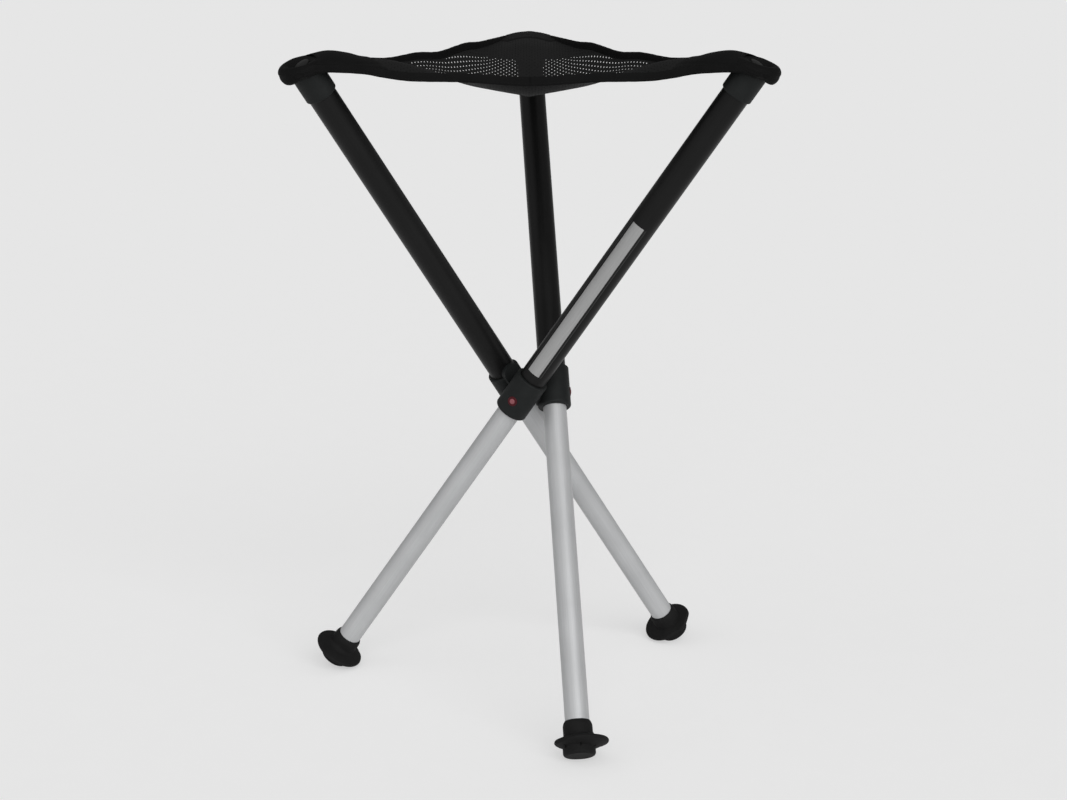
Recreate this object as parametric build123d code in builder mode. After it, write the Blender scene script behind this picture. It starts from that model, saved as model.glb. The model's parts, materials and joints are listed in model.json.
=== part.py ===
from build123d import *
import os
from math import cos, degrees, radians, sin, sqrt, tan

# Tripod stool, open and standing on its three feet. Millimetres and degrees, +Z up.
# Each leg has a frame of its own: its origin is where the leg's axis passes the pivot,
# X runs outward along the pivot, Z runs up the leg. "Above the pivot" means along that Z.

# Stance
PIVOT_HEIGHT = 317.0  # floor to the three pivot axes
LEG_LEAN = 35.43  # of each leg from upright
FIRST_LEG_AZIMUTH = 96.17  # where the top of leg 1 leans to
AXIS_SHIFT = -20.25  # of the stool's upright axis along Y, so that its box stands over the origin
LEGS = (1, 2, 3)
LABEL_LEG = 3

# Telescopic tubes
LOWER_TUBE_OD = 24.0
LOWER_TUBE_WALL = 1.2
LOWER_TUBE_RISE = 85.0  # its top, above the pivot
TUBE_GAP = 0.5  # between the lower tube and the upper tube's bore
UPPER_TUBE_WALL = 1.5
UPPER_TUBE_TOP = 416.0  # above the pivot
SLEEVE_FIT = 0.05  # radial, where a sleeve is pressed on a tube
GUIDE_CLEARANCE = 0.1  # radial, where the lower tube slides in the collar
PLUG_CLEARANCE = 0.05  # radial, where the guide plug slides in the upper tube

# Guide plug in the top of the lower tube
PLUG_RIM = 9.0
PLUG_SPIGOT = 14.0
PLUG_WALL = 2.2

# Collar at the crossing
COLLAR_WALL = 3.0  # round the upper tube
COLLAR_DROP = 17.2  # below the pivot
COLLAR_RISE = 26.0
COLLAR_SEAT = 9.0  # where the upper tube stands, above the pivot
COLLAR_LOWER_ROUND = 2.5
COLLAR_UPPER_ROUND = 1.0
EAR_RISE = 36.0
EAR_WIDTH = 20.0
EAR_DROP = 14.0
EAR_PROUD = 1.0  # of the collar, towards the hub
EAR_WEB = 2.6  # of the ear under the pivot screw's head

# Hub, washers and pivot screws
HUB_INRADIUS = 6.4
HUB_CORNER_RADIUS = 11.0
HUB_HEIGHT = 16.0
HUB_EDGE = 1.0
WASHER_THICKNESS = 0.75
WASHER_RADIUS = 7.0
WASHER_PLAY = 0.05
SCREW_RADIUS = 3.0
SCREW_TIP = 2.1  # from the stool's axis
SCREW_HEAD_RADIUS = 6.0
SCREW_HEAD_CLEARANCE = 0.3
SCREW_CLEARANCE = 0.05
SCREW_PLAY = 0.1
SCREW_KEY = 4.0  # across the flats of its hexagon socket
SCREW_KEY_DEPTH = 1.6

# Push button and snap spring
BUTTON_RADIUS = 5.0
BUTTON_THICKNESS = 2.2
BUTTON_PROUD = 1.0
BUTTON_NUB_RADIUS = 2.6
BUTTON_NUB_HEIGHT = 0.6
BUTTON_NUB_ROUND = 0.45
BUTTON_ROUND = 0.5
BUTTON_TRAVEL = 2.0
BUTTON_CLEARANCE = 0.1
BUTTON_UNDER_GAP = 0.2
LATCH_PIN_RADIUS = 2.8
LATCH_PIN_CLEARANCE = 0.3
LATCH_PIN_GAP = 0.2  # under the button's stem
LATCH_PIN_ROUND = 0.8
SPRING_WIDTH = 7.0
SPRING_THICKNESS = 0.6
SPRING_GAP = 0.3  # to the tube's bore
SPRING_RISE = 7.0
SPRING_DROP = 16.0

# Foot
FOOT_HEIGHT = 34.4
FOOT_FLOOR = 8.0  # rubber under the end of the tube
FOOT_NECK_WALL = 2.5
FOOT_NECK_SHOULDER = 6.0  # height over which the neck draws in to its lip
FOOT_LIP = 0.5  # wall left at the lip
FOOT_TIP_RADIUS = 16.0
FOOT_TIP_ROUND = 3.0
FOOT_WEAR = 0.6  # cut away level with the floor
BRIM_RADIUS = 26.6
BRIM_OFFSET = 2.8  # outward of the leg's axis
BRIM_RISE = 14.0
BRIM_EDGE = 2.2  # half the thickness of its edge
BRIM_SLOPE = 17.0  # of its upper face
BRIM_UNDER_SLOPE = 22.0
BRIM_FLARE = 6.0  # radius of its sweep up into the neck
BRIM_FOLD_GAP = 0.3  # between two brims when the legs are folded
TREAD_SLOTS = 6
TREAD_SLOT_WIDTH = 1.8
TREAD_SLOT_DEPTH = 2.0
TREAD_SLOT_HEIGHT = 7.0  # below the middle of the brim

# Socket sleeve and rivet on top of the leg
SOCKET_WALL = 2.0
SOCKET_LENGTH = 31.0
SOCKET_CROWN = 3.0
SOCKET_ROUND = 1.2
RIVET_RADIUS = 2.5
RIVET_CLEARANCE = 0.05
RIVET_HEAD_RADIUS = 7.5
RIVET_HEAD_HEIGHT = 2.4
RIVET_HEAD_EDGE = 1.0
RIVET_TAIL_RADIUS = 4.0
RIVET_TAIL_HEIGHT = 1.2

# Label strip on the upper tube
LABEL_START = 36.7  # above the pivot
LABEL_LENGTH = 192.3
LABEL_WIDTH = 19.6
LABEL_THICKNESS = 0.2
LABEL_FIT = 0.02

# Corner pockets of the seat
POCKET_RADIUS = 27.0
POCKET_LIFT = 14.0  # of the pocket from square to the leg, towards level
POCKET_RISE = 4.0  # of its rim, above the end of the tube
POCKET_UNDER = 7.0  # from its rim down to its underside
POCKET_CROWN = 8.5  # from its rim up to its top
POCKET_ROLL = 8.0  # width of its rounded edge
POCKET_SHOULDER = 6.0  # height of the roll above the rim
POCKET_PAD = 4.0  # padding under the rivet's head
CLOTH_GAP = 0.3  # between cloth and what it lies on

# Seat panel and hem bands
SEAT_SLOPE = 16.0
SEAT_DISH_RADIUS = 300.0  # of the rounded middle
SEAT_CREST_RADIUS = 80.0  # over the pockets' inner rims
SEAT_THICKNESS = 1.2
SEAT_SIDE_RADIUS = 97.0  # from the stool's axis to the middle of a side
SEAT_CORNER_WIDTH = 48.0
NET_PITCH = 24.0  # between the middles of the net's openings
NET_OPENING = 18.5  # across the flats of an opening
NET_REACH = 160.0  # of the openings from the stool's axis, short of the plain corners
NET_BORDER = 2.5  # of plain cloth along a hem
BAND_THICKNESS = 2.4
BAND_ABOVE = 7.0
BAND_BELOW = 3.0

# Sizes that follow from those above
LOWER_RADIUS = LOWER_TUBE_OD / 2
LOWER_BORE = LOWER_RADIUS - LOWER_TUBE_WALL
UPPER_BORE = LOWER_RADIUS + TUBE_GAP
UPPER_RADIUS = UPPER_BORE + UPPER_TUBE_WALL
GUIDE_RADIUS = LOWER_RADIUS + GUIDE_CLEARANCE
COLLAR_RADIUS = UPPER_RADIUS + COLLAR_WALL
EAR_FACE = COLLAR_RADIUS + EAR_PROUD
LEG_OFFSET = HUB_INRADIUS + WASHER_THICKNESS + WASHER_PLAY + EAR_FACE
BUTTON_TOP = COLLAR_RADIUS + BUTTON_PROUD
BUTTON_UNDERSIDE = BUTTON_TOP - BUTTON_THICKNESS
BUTTON_STEM_END = LOWER_RADIUS + LATCH_PIN_CLEARANCE + BUTTON_TRAVEL
LATCH_HOLE = LATCH_PIN_RADIUS + LATCH_PIN_CLEARANCE
SOCKET_RADIUS = UPPER_RADIUS + SOCKET_WALL
SOCKET_TOP = UPPER_TUBE_TOP + SOCKET_CROWN
RIVET_SEAT = SOCKET_TOP + POCKET_PAD
POCKET_CENTRE = UPPER_TUBE_TOP + POCKET_RISE
LEAN = radians(LEG_LEAN)
FOOT_TIP_FACE = FOOT_TIP_RADIUS - FOOT_TIP_ROUND
FOOT_EDGE = -(PIVOT_HEIGHT + FOOT_WEAR - FOOT_TIP_ROUND - FOOT_TIP_FACE * sin(LEAN)) / cos(LEAN)
FOOT_TIP = FOOT_EDGE - FOOT_TIP_ROUND
FOOT_TOP = FOOT_TIP + FOOT_HEIGHT
TUBE_END = FOOT_TIP + FOOT_FLOOR
BRIM_LEVEL = FOOT_TIP + BRIM_RISE
LEG_STEP = 360 / len(LEGS)
STOOL_AXIS = Axis((0, AXIS_SHIFT, 0), (0, 0, 1))
STOOL_CENTRE = Vector(0, AXIS_SHIFT, PIVOT_HEIGHT)


def leg_plane(number):
    """The leg's own frame."""
    azimuth = radians(FIRST_LEG_AZIMUTH + (number - 1) * LEG_STEP)
    towards = Vector(cos(azimuth), sin(azimuth), 0)
    outward = Vector(sin(azimuth), -cos(azimuth), 0)
    up_leg = towards * sin(LEAN) + Vector(0, 0, cos(LEAN))
    return Plane(origin=STOOL_CENTRE + outward * LEG_OFFSET, x_dir=outward, z_dir=up_leg)


def section_plane(leg):
    """The plane through the leg's axis and its pivot: X outward, Y up the leg."""
    return Plane(origin=leg.origin, x_dir=leg.x_dir, z_dir=leg.y_dir * -1)


def pivot_plane(leg, reach):
    """The plane square to the pivot at this reach outward of the leg's axis: Y up the leg."""
    return Plane(origin=leg.origin + leg.x_dir * reach, x_dir=leg.y_dir, z_dir=leg.x_dir)


def pocket_plane(leg):
    """The plane of a pocket's rim, turned from square to the leg towards level."""
    lift = radians(POCKET_LIFT)
    up_pocket = leg.z_dir * cos(lift) - leg.y_dir * sin(lift)
    return Plane(origin=leg.origin + leg.z_dir * POCKET_CENTRE, x_dir=leg.x_dir, z_dir=up_pocket)


def write(piece, name):
    piece.part.label = name
    export_step(piece.part, f"parts/{name}.step")


def make_hub():
    with BuildPart() as hub:
        with BuildSketch(Plane(STOOL_CENTRE).offset(-HUB_HEIGHT / 2)):
            RegularPolygon(
                HUB_INRADIUS, len(LEGS), major_radius=False, rotation=FIRST_LEG_AZIMUTH - LEG_STEP / 4
            )
            Circle(HUB_CORNER_RADIUS, mode=Mode.INTERSECT)
        extrude(amount=HUB_HEIGHT)
        chamfer(hub.faces().sort_by(Axis.Z)[0].edges(), HUB_EDGE)
        chamfer(hub.faces().sort_by(Axis.Z)[-1].edges(), HUB_EDGE)
        for number in LEGS:
            with BuildSketch(pivot_plane(leg_plane(number), SCREW_TIP - LEG_OFFSET)):
                Circle(SCREW_RADIUS)
            extrude(amount=HUB_INRADIUS, mode=Mode.SUBTRACT)
    write(hub, "hub")


def make_pivot_washer(number, leg):
    with BuildPart() as pivot_washer:
        with BuildSketch(pivot_plane(leg, HUB_INRADIUS - LEG_OFFSET)):
            Circle(WASHER_RADIUS)
            Circle(SCREW_RADIUS + SCREW_CLEARANCE, mode=Mode.SUBTRACT)
        extrude(amount=WASHER_THICKNESS)
    write(pivot_washer, f"pivot_washer_{number}")


def make_pivot_screw(number, leg):
    head_seat = SCREW_PLAY + EAR_WEB - EAR_FACE
    head_top = -GUIDE_RADIUS - SCREW_HEAD_CLEARANCE
    with BuildPart() as pivot_screw:
        with BuildSketch(pivot_plane(leg, SCREW_TIP - LEG_OFFSET)):
            Circle(SCREW_RADIUS)
        extrude(amount=head_seat - SCREW_TIP + LEG_OFFSET)
        with BuildSketch(pivot_plane(leg, head_seat)):
            Circle(SCREW_HEAD_RADIUS)
        extrude(amount=head_top - head_seat)
        with BuildSketch(pivot_plane(leg, head_top)):
            RegularPolygon(SCREW_KEY / 2, 6, major_radius=False)
        extrude(amount=-SCREW_KEY_DEPTH, mode=Mode.SUBTRACT)
    write(pivot_screw, f"pivot_screw_{number}")


def make_collar(number, leg):
    leg_axis = Axis(leg.origin, leg.z_dir)
    with BuildPart() as collar:
        with BuildSketch(leg.offset(-COLLAR_DROP)):
            Circle(COLLAR_RADIUS)
        extrude(amount=COLLAR_DROP + COLLAR_RISE)
        rims = collar.edges().filter_by(GeomType.CIRCLE).sort_by(leg_axis)
        fillet(rims[0], COLLAR_LOWER_ROUND)
        fillet(rims[-1], COLLAR_UPPER_ROUND)
        # The ear stands on the side of the hub, and the collar turns on its face.
        with BuildSketch(pivot_plane(leg, -EAR_FACE)):
            with Locations((0, (EAR_RISE - EAR_DROP) / 2)):
                SlotOverall(EAR_RISE + EAR_DROP, EAR_WIDTH, rotation=90)
        extrude(amount=EAR_FACE - LOWER_RADIUS)
        with BuildSketch(leg.offset(COLLAR_SEAT)):
            Circle(UPPER_RADIUS + SLEEVE_FIT)
        extrude(amount=EAR_RISE - COLLAR_SEAT, mode=Mode.SUBTRACT)
        with BuildSketch(leg.offset(-COLLAR_DROP)):
            Circle(GUIDE_RADIUS)
        extrude(amount=COLLAR_DROP + COLLAR_SEAT, mode=Mode.SUBTRACT)
        # The pivot screw's hole and its head's recess
        with BuildSketch(pivot_plane(leg, -EAR_FACE)):
            Circle(SCREW_RADIUS + SCREW_CLEARANCE)
        extrude(amount=EAR_FACE, mode=Mode.SUBTRACT)
        with BuildSketch(pivot_plane(leg, EAR_WEB - EAR_FACE)):
            Circle(SCREW_HEAD_RADIUS + SCREW_HEAD_CLEARANCE)
        extrude(amount=EAR_FACE - EAR_WEB, mode=Mode.SUBTRACT)
        # The button's recess and the hole for the latch pin
        with BuildSketch(pivot_plane(leg, BUTTON_UNDERSIDE - BUTTON_TRAVEL - BUTTON_UNDER_GAP)):
            Circle(BUTTON_RADIUS + BUTTON_CLEARANCE)
        extrude(amount=BUTTON_TOP, mode=Mode.SUBTRACT)
        with BuildSketch(pivot_plane(leg, 0)):
            Circle(LATCH_HOLE)
        extrude(amount=BUTTON_TOP, mode=Mode.SUBTRACT)
    write(collar, f"collar_{number}")


def make_button(number, leg):
    shoulder = BUTTON_TOP - BUTTON_NUB_HEIGHT
    with BuildPart() as button:
        with BuildSketch(pivot_plane(leg, BUTTON_UNDERSIDE)):
            Circle(BUTTON_RADIUS)
        extrude(amount=shoulder - BUTTON_UNDERSIDE)
        rim = button.faces().sort_by(Axis(leg.origin, leg.x_dir))[-1].edges()
        fillet(rim, BUTTON_ROUND)
        with BuildSketch(pivot_plane(leg, shoulder)):
            Circle(BUTTON_NUB_RADIUS)
        extrude(amount=BUTTON_NUB_HEIGHT)
        nub_rim = button.faces().sort_by(Axis(leg.origin, leg.x_dir))[-1].edges()
        fillet(nub_rim, BUTTON_NUB_ROUND)
        with BuildSketch(pivot_plane(leg, BUTTON_STEM_END)):
            Circle(LATCH_PIN_RADIUS)
        extrude(amount=BUTTON_UNDERSIDE - BUTTON_STEM_END)
    write(button, f"release_button_{number}")


def make_upper_tube(number, leg):
    with BuildPart() as upper_tube:
        with BuildSketch(leg.offset(COLLAR_SEAT)):
            Circle(UPPER_RADIUS)
            Circle(UPPER_BORE, mode=Mode.SUBTRACT)
        extrude(amount=UPPER_TUBE_TOP - COLLAR_SEAT)
    write(upper_tube, f"upper_tube_{number}")


def make_lower_tube(number, leg):
    with BuildPart() as lower_tube:
        with BuildSketch(leg.offset(TUBE_END)):
            Circle(LOWER_RADIUS)
            Circle(LOWER_BORE, mode=Mode.SUBTRACT)
        extrude(amount=LOWER_TUBE_RISE - TUBE_END)
        with BuildSketch(pivot_plane(leg, 0)):
            Circle(LATCH_HOLE)
        extrude(amount=LOWER_TUBE_OD, mode=Mode.SUBTRACT)
    write(lower_tube, f"lower_tube_{number}")


def make_guide_plug(number, leg):
    spigot = LOWER_BORE - SLEEVE_FIT
    with BuildPart() as guide_plug:
        with BuildSketch(leg.offset(LOWER_TUBE_RISE)):
            Circle(UPPER_BORE - PLUG_CLEARANCE)
        extrude(amount=PLUG_RIM)
        with BuildSketch(leg.offset(LOWER_TUBE_RISE)):
            Circle(spigot)
        extrude(amount=-PLUG_SPIGOT)
        with BuildSketch(leg.offset(LOWER_TUBE_RISE - PLUG_SPIGOT)):
            Circle(spigot - PLUG_WALL)
        extrude(amount=PLUG_SPIGOT + PLUG_RIM, mode=Mode.SUBTRACT)
    write(guide_plug, f"guide_plug_{number}")


def make_snap_spring(number, leg):
    outer = sqrt(LOWER_BORE**2 - (SPRING_WIDTH / 2) ** 2) - SPRING_GAP
    inner = outer - SPRING_THICKNESS
    with BuildPart() as snap_spring:
        with BuildSketch(section_plane(leg)):
            with BuildLine():
                Polyline(
                    (inner, -SPRING_DROP),
                    (inner, SPRING_RISE),
                    (outer, SPRING_RISE),
                    (outer, -SPRING_DROP),
                )
                ThreePointArc((outer, -SPRING_DROP), (0, -SPRING_DROP - outer), (-outer, -SPRING_DROP))
                Polyline(
                    (-outer, -SPRING_DROP),
                    (-outer, SPRING_RISE),
                    (-inner, SPRING_RISE),
                    (-inner, -SPRING_DROP),
                )
                ThreePointArc((-inner, -SPRING_DROP), (0, -SPRING_DROP - inner), (inner, -SPRING_DROP))
            make_face()
        extrude(amount=SPRING_WIDTH / 2, both=True)
        with BuildSketch(pivot_plane(leg, inner)):
            Circle(LATCH_PIN_RADIUS)
        extrude(amount=BUTTON_STEM_END - LATCH_PIN_GAP - inner)
        fillet(snap_spring.faces().sort_by(Axis(leg.origin, leg.x_dir))[-1].edges(), LATCH_PIN_ROUND)
    write(snap_spring, f"snap_spring_{number}")


def make_foot(number, leg):
    neck = LOWER_RADIUS + FOOT_NECK_WALL
    lip = LOWER_RADIUS + FOOT_LIP
    with BuildPart() as foot:
        with BuildSketch(section_plane(leg)):
            with BuildLine():
                Polyline((lip, FOOT_TOP), (0, FOOT_TOP), (0, FOOT_TIP), (FOOT_TIP_FACE, FOOT_TIP))
                TangentArc((FOOT_TIP_FACE, FOOT_TIP), (FOOT_TIP_RADIUS, FOOT_EDGE), tangent=(1, 0))
                Polyline(
                    (FOOT_TIP_RADIUS, FOOT_EDGE),
                    (FOOT_TIP_RADIUS, BRIM_LEVEL),
                    (neck, BRIM_LEVEL),
                    (neck, FOOT_TOP - FOOT_NECK_SHOULDER),
                )
                TangentArc((neck, FOOT_TOP - FOOT_NECK_SHOULDER), (lip, FOOT_TOP), tangent=(0, 1))
            make_face()
        revolve(axis=Axis(leg.origin, leg.z_dir))
        add_brim(leg, neck)
        # The folded feet share the room round the stool's axis, so each keeps to its own third.
        inmost = BRIM_FOLD_GAP / 2 / sin(radians(LEG_STEP / 2)) - LEG_OFFSET
        outmost = 2 * BRIM_RADIUS
        half_width = (outmost - inmost) * tan(radians(LEG_STEP / 2))
        with BuildSketch(leg.offset(BRIM_LEVEL)):
            Polygon((inmost, 0), (outmost, -half_width), (outmost, half_width), align=None)
        extrude(amount=FOOT_HEIGHT, both=True, mode=Mode.INTERSECT)
        with BuildSketch(leg.offset(BRIM_LEVEL - TREAD_SLOT_HEIGHT)):
            with PolarLocations(FOOT_TIP_RADIUS, TREAD_SLOTS, start_angle=180 / TREAD_SLOTS):
                Rectangle(2 * TREAD_SLOT_DEPTH, TREAD_SLOT_WIDTH)
        extrude(amount=TREAD_SLOT_HEIGHT, mode=Mode.SUBTRACT)
        with BuildSketch(leg.offset(TUBE_END)):
            Circle(LOWER_RADIUS + SLEEVE_FIT)
        extrude(amount=FOOT_HEIGHT, mode=Mode.SUBTRACT)
        split(bisect_by=Plane.XY, keep=Keep.TOP)
    write(foot, f"foot_{number}")


def add_brim(leg, neck):
    """The foot's off-centre brim, which sweeps up into the neck and slopes down to the tip."""
    slope = radians(BRIM_SLOPE)
    edge_reach = BRIM_RADIUS - BRIM_EDGE
    flare_reach = neck - BRIM_OFFSET
    face_reach = flare_reach + BRIM_FLARE * (1 - sin(slope))
    face_rise = BRIM_EDGE + (edge_reach - face_reach) * tan(slope)
    flare_rise = face_rise + BRIM_FLARE * cos(slope)
    root_reach = FOOT_TIP_RADIUS - BRIM_OFFSET
    root_drop = BRIM_EDGE + (edge_reach - root_reach) * tan(radians(BRIM_UNDER_SLOPE))
    axis_plane = section_plane(leg)
    brim_plane = Plane(
        origin=axis_plane.origin + leg.x_dir * BRIM_OFFSET + leg.z_dir * BRIM_LEVEL,
        x_dir=axis_plane.x_dir,
        z_dir=axis_plane.z_dir,
    )
    with BuildSketch(brim_plane) as brim:
        with BuildLine():
            ThreePointArc((edge_reach, -BRIM_EDGE), (BRIM_RADIUS, 0), (edge_reach, BRIM_EDGE))
            Line((edge_reach, BRIM_EDGE), (face_reach, face_rise))
            TangentArc((flare_reach, flare_rise), (face_reach, face_rise), tangent=(0, -1))
            Polyline(
                (flare_reach, flare_rise),
                (0, flare_rise),
                (0, -root_drop),
                (root_reach, -root_drop),
                (edge_reach, -BRIM_EDGE),
            )
        make_face()
    revolve(brim.sketch, axis=Axis(brim_plane.origin, leg.z_dir))


def make_socket(number, leg):
    with BuildPart() as socket:
        with BuildSketch(leg.offset(SOCKET_TOP - SOCKET_LENGTH)):
            Circle(SOCKET_RADIUS)
        extrude(amount=SOCKET_LENGTH)
        fillet(socket.edges().filter_by(GeomType.CIRCLE), SOCKET_ROUND)
        with BuildSketch(leg.offset(SOCKET_TOP - SOCKET_LENGTH)):
            Circle(UPPER_RADIUS + SLEEVE_FIT)
        extrude(amount=SOCKET_LENGTH - SOCKET_CROWN, mode=Mode.SUBTRACT)
        with BuildSketch(leg.offset(UPPER_TUBE_TOP)):
            Circle(RIVET_RADIUS + RIVET_CLEARANCE)
        extrude(amount=SOCKET_CROWN, mode=Mode.SUBTRACT)
    write(socket, f"leg_socket_{number}")


def make_rivet(number, leg):
    head_top = RIVET_SEAT + RIVET_HEAD_HEIGHT
    with BuildPart() as rivet:
        with BuildSketch(section_plane(leg)):
            with BuildLine():
                Polyline(
                    (0, head_top),
                    (0, UPPER_TUBE_TOP - RIVET_TAIL_HEIGHT),
                    (RIVET_TAIL_RADIUS, UPPER_TUBE_TOP - RIVET_TAIL_HEIGHT),
                    (RIVET_TAIL_RADIUS, UPPER_TUBE_TOP),
                    (RIVET_RADIUS, UPPER_TUBE_TOP),
                    (RIVET_RADIUS, RIVET_SEAT),
                    (RIVET_HEAD_RADIUS, RIVET_SEAT),
                    (RIVET_HEAD_RADIUS, RIVET_SEAT + RIVET_HEAD_EDGE),
                )
                TangentArc((0, head_top), (RIVET_HEAD_RADIUS, RIVET_SEAT + RIVET_HEAD_EDGE), tangent=(1, 0))
            make_face()
        revolve(axis=Axis(leg.origin, leg.z_dir))
    write(rivet, f"pocket_rivet_{number}")


def make_label(leg):
    inner = UPPER_RADIUS + LABEL_FIT
    outer = inner + LABEL_THICKNESS
    turn = degrees(LABEL_WIDTH / outer)
    with BuildPart() as label:
        with BuildSketch(leg.offset(LABEL_START)):
            with BuildLine():
                outer_arc = CenterArc((0, 0), outer, -turn / 2, turn)
                inner_arc = CenterArc((0, 0), inner, -turn / 2, turn)
                Line(outer_arc @ 0, inner_arc @ 0)
                Line(outer_arc @ 1, inner_arc @ 1)
            make_face()
        extrude(amount=LABEL_LENGTH)
    write(label, "label_strip")


def make_pocket(number, leg):
    rim = pocket_plane(leg)
    shoulder = POCKET_RADIUS - POCKET_ROLL
    with BuildPart() as pocket:
        with BuildSketch(section_plane(rim)):
            with BuildLine():
                TangentArc((shoulder, -POCKET_UNDER), (POCKET_RADIUS, 0), tangent=(1, 0))
                TangentArc((POCKET_RADIUS, 0), (shoulder, POCKET_SHOULDER), tangent=(0, 1))
                TangentArc((0, POCKET_CROWN), (shoulder, POCKET_SHOULDER), tangent=(1, 0))
                Polyline((0, POCKET_CROWN), (0, -POCKET_UNDER), (shoulder, -POCKET_UNDER))
            make_face()
        revolve(axis=Axis(rim.origin, rim.z_dir))
        with BuildSketch(leg.offset(SOCKET_TOP + CLOTH_GAP)):
            Circle(SOCKET_RADIUS + CLOTH_GAP)
        extrude(amount=-SOCKET_LENGTH, mode=Mode.SUBTRACT)
        with BuildSketch(leg.offset(SOCKET_TOP)):
            Circle(RIVET_RADIUS + CLOTH_GAP)
        extrude(amount=POCKET_PAD, mode=Mode.SUBTRACT)
        with BuildSketch(leg.offset(RIVET_SEAT)):
            Circle(RIVET_HEAD_RADIUS + CLOTH_GAP)
        extrude(amount=POCKET_RADIUS, mode=Mode.SUBTRACT)
    write(pocket, f"corner_pocket_{number}")


def seat_corner(number):
    """The middle of a corner of the seat, in plan from the stool's axis."""
    return pocket_plane(leg_plane(number)).origin - Vector(0, AXIS_SHIFT, 0)


def seat_corner_ends(number):
    """The two ends of a seat corner in plan, clockwise one first."""
    corner = seat_corner(number)
    reach = sqrt(corner.X**2 + corner.Y**2)
    across = Vector(-corner.Y, corner.X, 0) * (SEAT_CORNER_WIDTH / 2 / reach)
    middle = Vector(corner.X, corner.Y + AXIS_SHIFT, 0)
    return middle - across, middle + across


def side_circle(number):
    """The circle, outside the seat, whose arc is the drawn-in side after a corner: centre and radius."""
    start = seat_corner_ends(number)[1]
    end = seat_corner_ends(number % len(LEGS) + 1)[0]
    chord_middle = (start + end) / 2
    from_axis = chord_middle - Vector(0, AXIS_SHIFT, 0)
    half_chord = (end - start).length / 2
    draw_in = from_axis.length - SEAT_SIDE_RADIUS
    radius = (half_chord**2 + draw_in**2) / (2 * draw_in)
    centre = Vector(0, AXIS_SHIFT, 0) + from_axis.normalized() * (SEAT_SIDE_RADIUS + radius)
    return centre, radius


def seat_outline():
    """The straight-sided outline that holds the seat, in plan."""
    ends = [point for number in LEGS for point in seat_corner_ends(number)]
    Polygon(*[(point.X, point.Y) for point in ends], align=None)


def dish(below, above):
    """A revolved dish: rounded in the middle, then a cone, then a crest over the pockets' inner rims."""
    slope = radians(SEAT_SLOPE)
    corner = seat_corner(1)
    pocket_lean = LEAN - radians(POCKET_LIFT)
    crest_reach = sqrt(corner.X**2 + corner.Y**2) - POCKET_RADIUS * cos(pocket_lean)
    crest_centre = corner.Z + POCKET_RADIUS * sin(pocket_lean) - SEAT_CREST_RADIUS
    cone_run = crest_reach - (SEAT_CREST_RADIUS + SEAT_DISH_RADIUS) * sin(slope)
    dish_centre = crest_centre + (SEAT_CREST_RADIUS + SEAT_DISH_RADIUS) * cos(slope) - cone_run * tan(slope)

    def on_dish(height, angle):
        radius = SEAT_DISH_RADIUS - height
        return radius * sin(angle), dish_centre - radius * cos(angle)

    def on_crest(height, angle):
        radius = SEAT_CREST_RADIUS + height
        return crest_reach - radius * sin(angle), crest_centre + radius * cos(angle)

    def on_tail(height):
        reach, level = on_crest(height, -pocket_lean)
        return reach + POCKET_RADIUS * cos(pocket_lean), level - POCKET_RADIUS * sin(pocket_lean)

    with BuildSketch(Plane(origin=(0, AXIS_SHIFT, 0), x_dir=(1, 0, 0), z_dir=(0, -1, 0))) as profile:
        with BuildLine():
            for height in (-below, above):
                ThreePointArc(on_dish(height, 0), on_dish(height, slope / 2), on_dish(height, slope))
                Line(on_dish(height, slope), on_crest(height, slope))
                ThreePointArc(on_crest(height, slope), on_crest(height, 0), on_crest(height, -pocket_lean))
                Line(on_crest(height, -pocket_lean), on_tail(height))
            Line(on_tail(-below), on_tail(above))
            Line(on_dish(-below, 0), on_dish(above, 0))
        make_face()
    revolve(profile.sketch, axis=STOOL_AXIS)


def clear_pockets(numbers):
    """Room for these pockets, cut from a seat piece."""
    depth = 2 * POCKET_RADIUS
    for number in numbers:
        with BuildSketch(pocket_plane(leg_plane(number)).offset(-depth / 2)) as room:
            Circle(POCKET_RADIUS + CLOTH_GAP)
        extrude(room.sketch, amount=depth, mode=Mode.SUBTRACT)


def net_openings():
    """Middles of the net's openings in plan: staggered rows, clear of the hems and the plain corners."""
    corner_reach = NET_OPENING / sqrt(3)
    row_step = NET_PITCH * sqrt(3) / 2
    rows = int(NET_REACH / row_step)
    columns = int(NET_REACH / NET_PITCH) + 1
    circles = [side_circle(number) for number in LEGS]
    hem_margin = BAND_THICKNESS + CLOTH_GAP + NET_BORDER + corner_reach
    middles = []
    for row in range(-rows, rows + 1):
        for column in range(-columns, columns + 1):
            from_axis = Vector((column + row % 2 / 2) * NET_PITCH, row * row_step, 0)
            middle = Vector(0, AXIS_SHIFT, 0) + from_axis
            to_hem = min((middle - centre).length - radius for centre, radius in circles)
            if to_hem > hem_margin and from_axis.length + corner_reach < NET_REACH:
                middles.append((middle.X, middle.Y))
    return middles


def make_seat_mesh():
    with BuildPart() as seat_mesh:
        dish(SEAT_THICKNESS / 2, SEAT_THICKNESS / 2)
        with BuildSketch():
            seat_outline()
            for number in LEGS:
                centre, radius = side_circle(number)
                with Locations((centre.X, centre.Y)):
                    Circle(radius + BAND_THICKNESS + CLOTH_GAP, mode=Mode.SUBTRACT)
        extrude(amount=2 * PIVOT_HEIGHT + UPPER_TUBE_TOP, mode=Mode.INTERSECT)
        clear_pockets(LEGS)
        with BuildSketch():
            with Locations(*net_openings()):
                RegularPolygon(NET_OPENING / 2, 6, major_radius=False)
        extrude(amount=2 * PIVOT_HEIGHT + UPPER_TUBE_TOP, mode=Mode.SUBTRACT)
    write(seat_mesh, "seat_mesh")


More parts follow.
